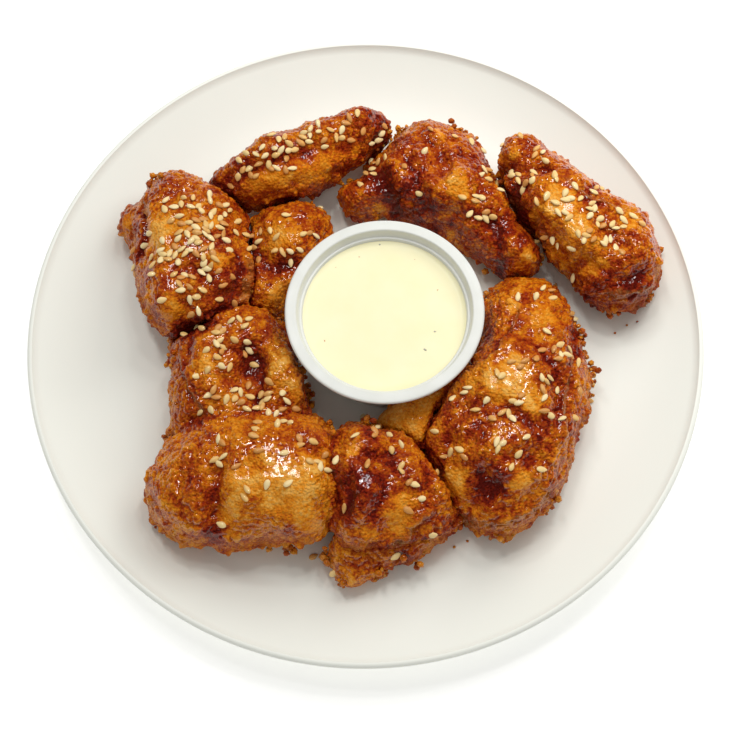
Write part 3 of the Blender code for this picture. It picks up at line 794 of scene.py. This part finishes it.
# %% Make the wings
# pieces that fried and cooled together, without a gap
STUCK = [{"wing_7", "wing_6"}, {"wing_7", "wing_8"}, {"wing_6", "wing_6_under"}]
BLOCKS = {}
for node in WINGS:
    bm = bmesh.new()
    bm.from_mesh(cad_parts[node].data)
    BLOCKS[node] = BVHTree.FromBMesh(bm)
    bm.free()
wings = []
for number, node in enumerate(WINGS):
    note = NOTES[node]
    wing = block_out(node)
    sculpt_form(wing, note, 100 * number)
    remeshed(wing, FINE, 1)
    sculpt_crust(wing, note, 100 * number, nearness(read_points(wing.data)[0], node))
    wing.data.shade_smooth()
    wing.data.materials.clear()
    wing.data.materials.append(chicken)
    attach(wing, "root")
    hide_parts(node)
    wings.append(wing)
    print(node, len(wing.data.polygons), "faces")

# %% [markdown]
# ## Batter crumbs
#
# Where batter gathered at the edges it fried into little knobbly bits that stand off the side. They are small
# icospheres, each knocked out of round by its own few pushes, partly sunk in the crust, and joined into one
# piece. A few have dropped on the plate.


# %% Crumbs
def crumb_shape(bm, place, size, chance):
    """Adds one knobbly crumb to a bmesh and returns its points."""
    made = bmesh.ops.create_icosphere(bm, subdivisions=1, radius=0.5)["verts"]
    for vert in made:
        vert.co *= chance.uniform(0.8, 1.15)
    squash = Matrix.Diagonal((size, size * chance.uniform(0.75, 1), size * chance.uniform(0.75, 1), 1))
    turn = Matrix.Rotation(chance.uniform(0, math.tau), 4, Vector((chance.random(), chance.random(), 0.5)))
    bmesh.ops.transform(bm, matrix=Matrix.Translation(place) @ turn @ squash, verts=made)
    return made


chance = random.Random(11)
crumbs = bmesh.new()
layers = {name: crumbs.verts.layers.float.new(name) for name in ("tone", "hollow", "dry", "skin", "wet")}
HEAPS = {
    "wing_10": [(-77, 61, 22, 2, 10), (-72, 65, 20, 2, 6), (-46, 16, 20, 2, 7), (-75, 0, 16, 2, 5)],
    "wing_8": [(-21, -16, 16, 1, 8), (-20, -26, 15, 2, 12), (-32, 1, 20, 1, 7), (-74, -42, 14, 2, 12),
               (-71, -13, 18, 2, 10), (-65, -28, 15, 2, 8)],
    "wing_7": [(-79, -55, 12, 2, 7), (-16, -45, 24, 2, 6), (-75, -76, 12, 2, 7), (-30, -85, 12, 3, 8)],
    "wing_6": [(0, -46, 24, 2, 9), (21, -62, 18, 2, 5)],
    "wing_6_under": [(-11, -97, 12, 1, 7), (-18, -89, 12, 1, 7), (12, -88, 12, 2, 8), (2, -94, 12, 2, 6)],
    "wing_4": [(86, -21, 16, 2, 10), (84, -30, 14, 2, 8), (64, -70, 12, 2, 8), (47, -81, 12, 2, 8),
               (47, 8, 20, 2, 5), (80, -11, 22, 2, 7), (44, -9, 16, 2, 5)],
    "wing_1": [(18, 85, 20, 2, 9), (42, 82, 22, 3, 9), (-6, 60, 14, 2, 5), (55, 28, 12, 2, 6),
               (52, 61, 20, 2, 6), (70, 26, 14, 1, 5)],
    "wing_2": [(60, 75, 18, 1, 7), (85, 63, 16, 2, 8), (98, 51, 18, 2, 7), (111, 44, 16, 2, 7),
               (116, 27, 14, 2, 8), (112, 7, 12, 2, 8), (96, 4, 10, 2, 8)],
    "wing_11": [(-44, 80, 18, 3, 8), (-58, 63, 16, 1, 5), (6, 94, 20, 2, 7), (11, 84, 18, 2, 6)],
    "wing_10_inner": [(-22, 52, 16, 2, 6)],
}
DROPPED = [(107, 2), (103, 1), (35, -83), (30, -85), (98, -2)]


def colour_crumb(verts):
    """Gives a crumb a tone and dryness of its own."""
    tone, dry = chance.uniform(0.2, 0.8), chance.uniform(0, 0.5)
    # hollow 0.2 paints every crumb a little darker, as painted shade.
    notes = {"tone": tone, "hollow": 0.2, "dry": dry, "skin": 0, "wet": 0.5}
    for vert in verts:
        for name, value in notes.items():
            vert[layers[name]] = value


for wing in wings:
    bm = bmesh.new()
    bm.from_mesh(wing.data)
    tree = BVHTree.FromBMesh(bm)
    bm.free()
    for x, y, z, spread, count in HEAPS.get(wing.name.replace("glazed_", ""), ()):
        for _ in range(2 * count):
            near = Vector((chance.gauss(x, spread), chance.gauss(y, spread), chance.gauss(z, 3))) * MM
            spot, normal, _, _ = tree.find_nearest(near)
            size = chance.choice((1.3, 1.6, 2.0, 2.5, 3.2)) * MM
            if spot.z > 8 * MM:
                colour_crumb(crumb_shape(crumbs, spot + normal * size * chance.uniform(0, 0.9), size, chance))
for x, y in DROPPED:
    ground = plate_top(math.hypot(x, y) * MM)
    place = Vector((x * MM, y * MM, ground + 0.4 * MM))
    colour_crumb(crumb_shape(crumbs, place, chance.uniform(1.0, 1.8) * MM, chance))
bits = finish_piece("batter_crumbs", crumbs, 180)
bits.data.materials.append(chicken)
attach(bits, "root")
print("crumbs", len(bits.data.polygons), "faces")

# %% [markdown]
# ## The dip
#
# Ranch dip is buttermilk and mayonnaise, whisked and spooned in, so its top settles to a lazy, slightly wavy
# disc that clings a little higher at the wall. A spun disc with many rings is nudged by a very gentle swell.

# %% Dip
low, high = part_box("dip")
DIP_LEVEL = high[2]
level = DIP_LEVEL - CUP_FOOT
edge_radius = cup_inner(level) + 0.12 * MM
profile = [(0, 1.6 * MM), (cup_inner(2 * MM) - 0.8 * MM, 1.6 * MM), (cup_inner(3 * MM) + 0.1 * MM, 3 * MM)]
profile += [(edge_radius, level + 0.1 * MM)]
profile += [(edge_radius * (1 - i / 24), level - 0.5 * MM * (1 - math.exp(-i * 1.2))) for i in range(1, 24)]
profile += [(0, level - 0.5 * MM)]
dip = turned("creamy_dip", profile, 96, (CUP_X, CUP_Y, CUP_FOOT))
points, normals = read_points(dip.data)
top = fade(normals[:, 2], 0.7, 0.95)
wave = 0.22 * swell(points, 16 * MM, 5) + 0.08 * swell(points, 6 * MM, 6)
points[:, 2] += wave * top * MM
write_points(dip.data, points)

cream, tree, shader = new_material("ranch dip, whisked", Roughness=0.32, IOR=1.45, Subsurface_Weight=0.1)
shader.inputs["Subsurface Radius"].default_value = (1.0, 0.9, 0.6)
shader.inputs["Subsurface Scale"].default_value = 2 * MM
where = add(tree, "ShaderNodeTexCoord").outputs["Object"]
cloud = add(tree, "ShaderNodeTexNoise", {"Scale": 1 / (12 * MM), "Detail": 3}, Vector=where)
creams = ramp(tree, cloud.outputs["Fac"], [(0.3, "#F8F0C0"), (0.7, "#FAF3C8")])
tree.links.new(creams, shader.inputs["Base Color"])
dip.data.materials.append(cream)
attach(dip, "root")
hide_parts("dip")

# %% Flecks of spice and herb in the dip
FLECKS = [(-1, 22, 0.1, 0.9), (-10, 18, 0.3, 0.6), (-15, -12, 0.2, 1.1), (28, 7, 0.15, 0.7),
          (20, 20, 0.3, 0.5), (7, 27, 0.9, 1.5), (-7, 24, 0.8, 0.8), (26, -10, 0.85, 1.3),
          (22, -17, 0.9, 1.6)]
chance = random.Random(7)
bm = bmesh.new()
kind = bm.verts.layers.float.new("tint")
for x, y, tint_value, size in FLECKS:
    made = bmesh.ops.create_icosphere(bm, subdivisions=1, radius=0.5)["verts"]
    for vert in made:
        vert.co *= chance.uniform(0.7, 1.2)
        vert[kind] = tint_value
    turn = Matrix.Rotation(chance.uniform(0, math.tau), 4, "Z")
    flat = Matrix.Diagonal((size * MM, 0.55 * size * MM, 0.4 * MM, 1))
    place = Matrix.Translation((x * MM, y * MM, DIP_LEVEL - 0.45 * MM))
    bmesh.ops.transform(bm, matrix=place @ turn @ flat, verts=made)
flecks = finish_piece("dip_flecks", bm, 180)
herb, tree, shader = new_material("spice and dried herb, crushed and wet", Roughness=0.45)
shade = add(tree, "ShaderNodeAttribute", {"attribute_name": "tint"}).outputs["Fac"]
spices = ramp(tree, shade, [(0.2, "#E0A878"), (0.6, "#CDBFA4"), (0.9, "#BDB9A6")])
tree.links.new(spices, shader.inputs["Base Color"])
flecks.data.materials.append(herb)
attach(flecks, "root")

# %% [markdown]
# ## Sesame seeds
#
# Toasted sesame was thrown over the wings while the glaze was wet. A hulled seed is a flat teardrop just under
# 4 mm long, over 2 mm wide and 1 mm thick. One small sphere of a few dozen faces is drawn out to that shape,
# and each seed is a copy laid flat on the crust at a random turn, all joined into one piece. Sprinkles are
# (x, y, spread, count) in millimetres: a pinch lands thick in the middle and thin round it.

# %% Seed sprinkles
SPRINKLES = {
    "eleven": [(-45, 61, 2, 5), (-38, 64, 3, 9), (-31, 68, 3, 9), (-21, 73, 3, 7), (-12, 76, 3, 6),
               (-5, 77, 3, 4), (4, 79, 3, 4), (10, 79, 2, 3), (-29, 59, 2, 2), (-50, 57, 1, 1),
               (4, 73, 1, 1), (-12, 70, 1, 1)],
    "ten": [(-73, 44, 3, 4), (-65, 45, 3, 4), (-57, 45, 3, 4), (-50, 41, 3, 4), (-68, 37, 3, 5),
            (-61, 35, 3, 10), (-55, 36, 3, 7), (-61, 28, 3, 5), (-75, 31, 4, 4), (-68, 28, 3, 5),
            (-63, 24, 3, 5), (-50, 30, 3, 3), (-86, 32, 1, 2), (-76, 24, 3, 3), (-69, 21, 2, 2),
            (-57, 20, 3, 6), (-85, 22, 2, 2), (-78, 16, 1, 1), (-68, 14, 2, 3), (-60, 16, 3, 3),
            (-52, 15, 3, 3), (-67, 10, 2, 3), (-56, 9, 3, 4), (-63, 4, 2, 3), (-74, 5, 1, 1),
            (-62, 0, 2, 2)],
    "ten_inner": [(-36, 38, 3, 3), (-20, 38, 2, 3), (-41, 31, 2, 3), (-30, 28, 3, 4), (-25, 26, 2, 3),
                  (-41, 26, 1, 1), (-28, 43, 1, 1)],
    "eight": [(-68, -6, 1, 1), (-46, -3, 2, 3), (-54, -7, 3, 3), (-44, -10, 2, 2), (-51, -12, 3, 4),
              (-57, -13, 2, 2), (-43, -13, 1, 1), (-50, -18, 3, 2), (-43, -21, 3, 2), (-54, -22, 2, 1),
              (-59, -27, 3, 3), (-46, -28, 2, 3), (-58, -32, 2, 1), (-46, -33, 2, 2), (-35, -32, 3, 4),
              (-50, -35, 3, 4), (-40, -37, 3, 4), (-31, -38, 3, 4), (-59, -38, 2, 2), (-25, -37, 1, 1)],
    "seven": [(-52, -50, 2, 2), (-43, -48, 3, 3), (-52, -57, 2, 3), (-46, -57, 3, 2), (-31, -45, 2, 3),
              (-26, -53, 2, 2), (-30, -58, 1, 1), (-23, -60, 1, 1), (-15, -55, 2, 3), (-17, -61, 2, 3),
              (-37, -68, 1, 1), (-28, -68, 1, 1), (-44, -72, 1, 2), (-54, -80, 1, 1), (-21, -86, 1, 1)],
    "six": [(-6, -50, 1, 1), (4, -48, 2, 4), (9, -54, 2, 2), (11, -64, 1, 2), (15, -69, 1, 2),
            (16, -73, 1, 1), (13, -77, 1, 1), (-1, -61, 1, 1), (-10, -74, 1, 1), (-15, -95, 1, 1),
            (8, -92, 1, 1), (21, -86, 1, 1)],
    "four": [(25, -47, 1, 1), (28, -57, 1, 2), (34, -57, 2, 2), (22, -62, 2, 2), (59, 4, 3, 2),
             (69, 4, 2, 3), (81, 0, 1, 2), (69, -12, 1, 1), (60, -24, 3, 3), (66, -23, 2, 2),
             (71, -22, 2, 4), (77, -21, 2, 3), (65, -32, 2, 3), (65, -39, 2, 3), (49, -29, 3, 3),
             (53, -41, 2, 3), (51, -46, 2, 3), (45, -47, 1, 1), (64, -46, 1, 2), (70, -43, 2, 2),
             (78, -36, 1, 1), (84, -30, 1, 1), (86, -22, 1, 2), (39, -44, 2, 2), (54, -55, 1, 1),
             (46, -59, 2, 3), (52, -60, 1, 1), (50, -64, 1, 1), (61, -67, 1, 1), (27, -30, 2, 2),
             (34, -35, 2, 3)],
    "two": [(64, 71, 2, 1), (58, 69, 1, 1), (71, 62, 2, 4), (60, 56, 2, 3), (65, 54, 2, 3), (65, 49, 2, 3),
            (76, 50, 2, 2), (69, 41, 2, 2), (72, 35, 2, 3), (80, 39, 2, 3), (86, 38, 2, 3), (92, 45, 3, 4),
            (79, 32, 1, 1), (91, 33, 3, 5), (100, 33, 3, 3), (106, 32, 1, 2), (69, 32, 1, 1),
            (74, 29, 2, 3), (83, 25, 3, 4), (94, 27, 3, 3), (82, 23, 2, 2), (76, 23, 1, 1), (91, 23, 2, 2),
            (97, 22, 2, 2), (76, 18, 2, 2), (112, 40, 1, 1), (81, 14, 1, 1)],
    "one": [(8, 67, 2, 4), (4, 62, 2, 2), (1, 57, 1, 1), (18, 59, 1, 1), (23, 50, 1, 1), (26, 66, 1, 1),
            (29, 78, 1, 1), (39, 74, 1, 1), (48, 71, 2, 2), (50, 60, 2, 3), (49, 55, 1, 2), (38, 45, 1, 1),
            (46, 47, 3, 3), (47, 39, 2, 4), (53, 39, 1, 1), (54, 50, 1, 1)],
    "plate": [(-2, -33, 0, 1), (-16, 53, 0, 1)],
}
SEED_LENGTH, SEED_WIDTH, SEED_THICK = 3.9 * MM, 2.35 * MM, 1.1 * MM
SEED_GAP = 1.9 * MM
SEED_LIFT = 0.5 * MM


def seed_shape():
    """One seed: a sphere drawn out along X, pointed at one end, plump at the other."""
    bm = bmesh.new()
    bmesh.ops.create_uvsphere(bm, u_segments=8, v_segments=6, radius=0.5)
    bmesh.ops.rotate(bm, matrix=Matrix.Rotation(math.pi / 2, 3, "Y"), verts=bm.verts)
    for vert in bm.verts:
        pinch = 1 - 0.75 * max(0, vert.co.x + 0.05)
        vert.co.y *= pinch
        vert.co.z *= pinch
    bmesh.ops.scale(bm, vec=(SEED_LENGTH, SEED_WIDTH, SEED_THICK), verts=bm.verts)
    return bm


def surface_finder(objects):
    """A function that gives the height and the facing of the highest surface over a point of the plate."""
    trees = []
    for obj in objects:
        bm = bmesh.new()
        bm.from_mesh(obj.data)
        trees.append(BVHTree.FromBMesh(bm))
        bm.free()

    def find(x, y):
        best = None
        for tree in trees:
            hit, normal, _, _ = tree.ray_cast(Vector((x, y, 0.1)), Vector((0, 0, -1)))
            if hit and (best is None or hit.z > best[0].z):
                best = (hit, normal)
        return best

    return find


# %% Scatter the seeds
random.seed(4)
find_surface = surface_finder(wings + [plate])
one_seed = seed_shape()
one_seed.verts.ensure_lookup_table()
seed_mesh = bpy.data.meshes.new("one_seed")
one_seed.to_mesh(seed_mesh)
all_seeds = bmesh.new()
tint = all_seeds.verts.layers.float.new("tint")
landed = []
for sprinkles in SPRINKLES.values():
    for x, y, spread, count in sprinkles:
        for _ in range(count):
            for _try in range(12):
                place = Vector((random.gauss(x, spread * 0.9), random.gauss(y, spread * 0.9))) * MM
                if all((place - other).length > SEED_GAP for other in landed):
                    break
            landed.append(place)
            hit, normal = find_surface(*place)
            level = (normal + Vector((random.gauss(0, 0.22), random.gauss(0, 0.22), 0.5))).normalized()
            lie = level.to_track_quat("Z", "X").to_matrix().to_4x4()
            turn = Matrix.Rotation(random.uniform(0, math.tau), 4, "Z")
            grown = [random.uniform(*limits) for limits in ((0.85, 1.12), (0.85, 1.15), (0.8, 1.2))]
            shape = Matrix.Translation(hit + level * SEED_LIFT) @ lie @ turn @ Matrix.Diagonal((*grown, 1))
            before = len(all_seeds.verts)
            all_seeds.from_mesh(seed_mesh)
            all_seeds.verts.ensure_lookup_table()
            fresh = all_seeds.verts[before:]
            shade = random.random()
            for vert in fresh:
                vert[tint] = shade
            bmesh.ops.transform(all_seeds, matrix=shape, verts=fresh)
seeds = finish_piece("sesame_seeds", all_seeds, 180)
print("seeds", len(landed), "faces", len(seeds.data.polygons))

sesame, tree, shader = new_material("sesame, hulled and toasted", Roughness=0.35, IOR=1.47, Coat_Weight=0.2)
where = add(tree, "ShaderNodeTexCoord").outputs["Object"]
shade = add(tree, "ShaderNodeAttribute", {"attribute_name": "tint"}).outputs["Fac"]
fleck = add(tree, "ShaderNodeTexNoise", {"Scale": 1 / (1.4 * MM), "Detail": 2}, Vector=where)
blend = add(tree, "ShaderNodeMath", {"operation": "MULTIPLY_ADD", 1: 0.35}, i0=fleck.outputs["Fac"], i2=shade)
toasts = ramp(tree, blend.outputs[0], [
    (0.12, "#F8E2AC"), (0.55, "#F1D08C"), (0.85, "#E8B86C"), (1.0, "#D6944C"),
])
tree.links.new(toasts, shader.inputs["Base Color"])
seeds.data.materials.append(sesame)
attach(seeds, "root")

# %% Floor
bm = bmesh.new()
bmesh.ops.create_grid(bm, x_segments=1, y_segments=1, size=3)
bmesh.ops.translate(bm, vec=(0, 0, -0.2 * MM), verts=bm.verts)
floor = finish_piece("floor", bm)
paper, tree, shader = new_material(
    "paper sweep, matt white and lit from below", Roughness=0.9, Emission_Strength=0.35
)
shader.inputs["Base Color"].default_value = hex_linear("#FAFAF8")
shader.inputs["Emission Color"].default_value = hex_linear("#FFFFFF")
floor.data.materials.append(paper)
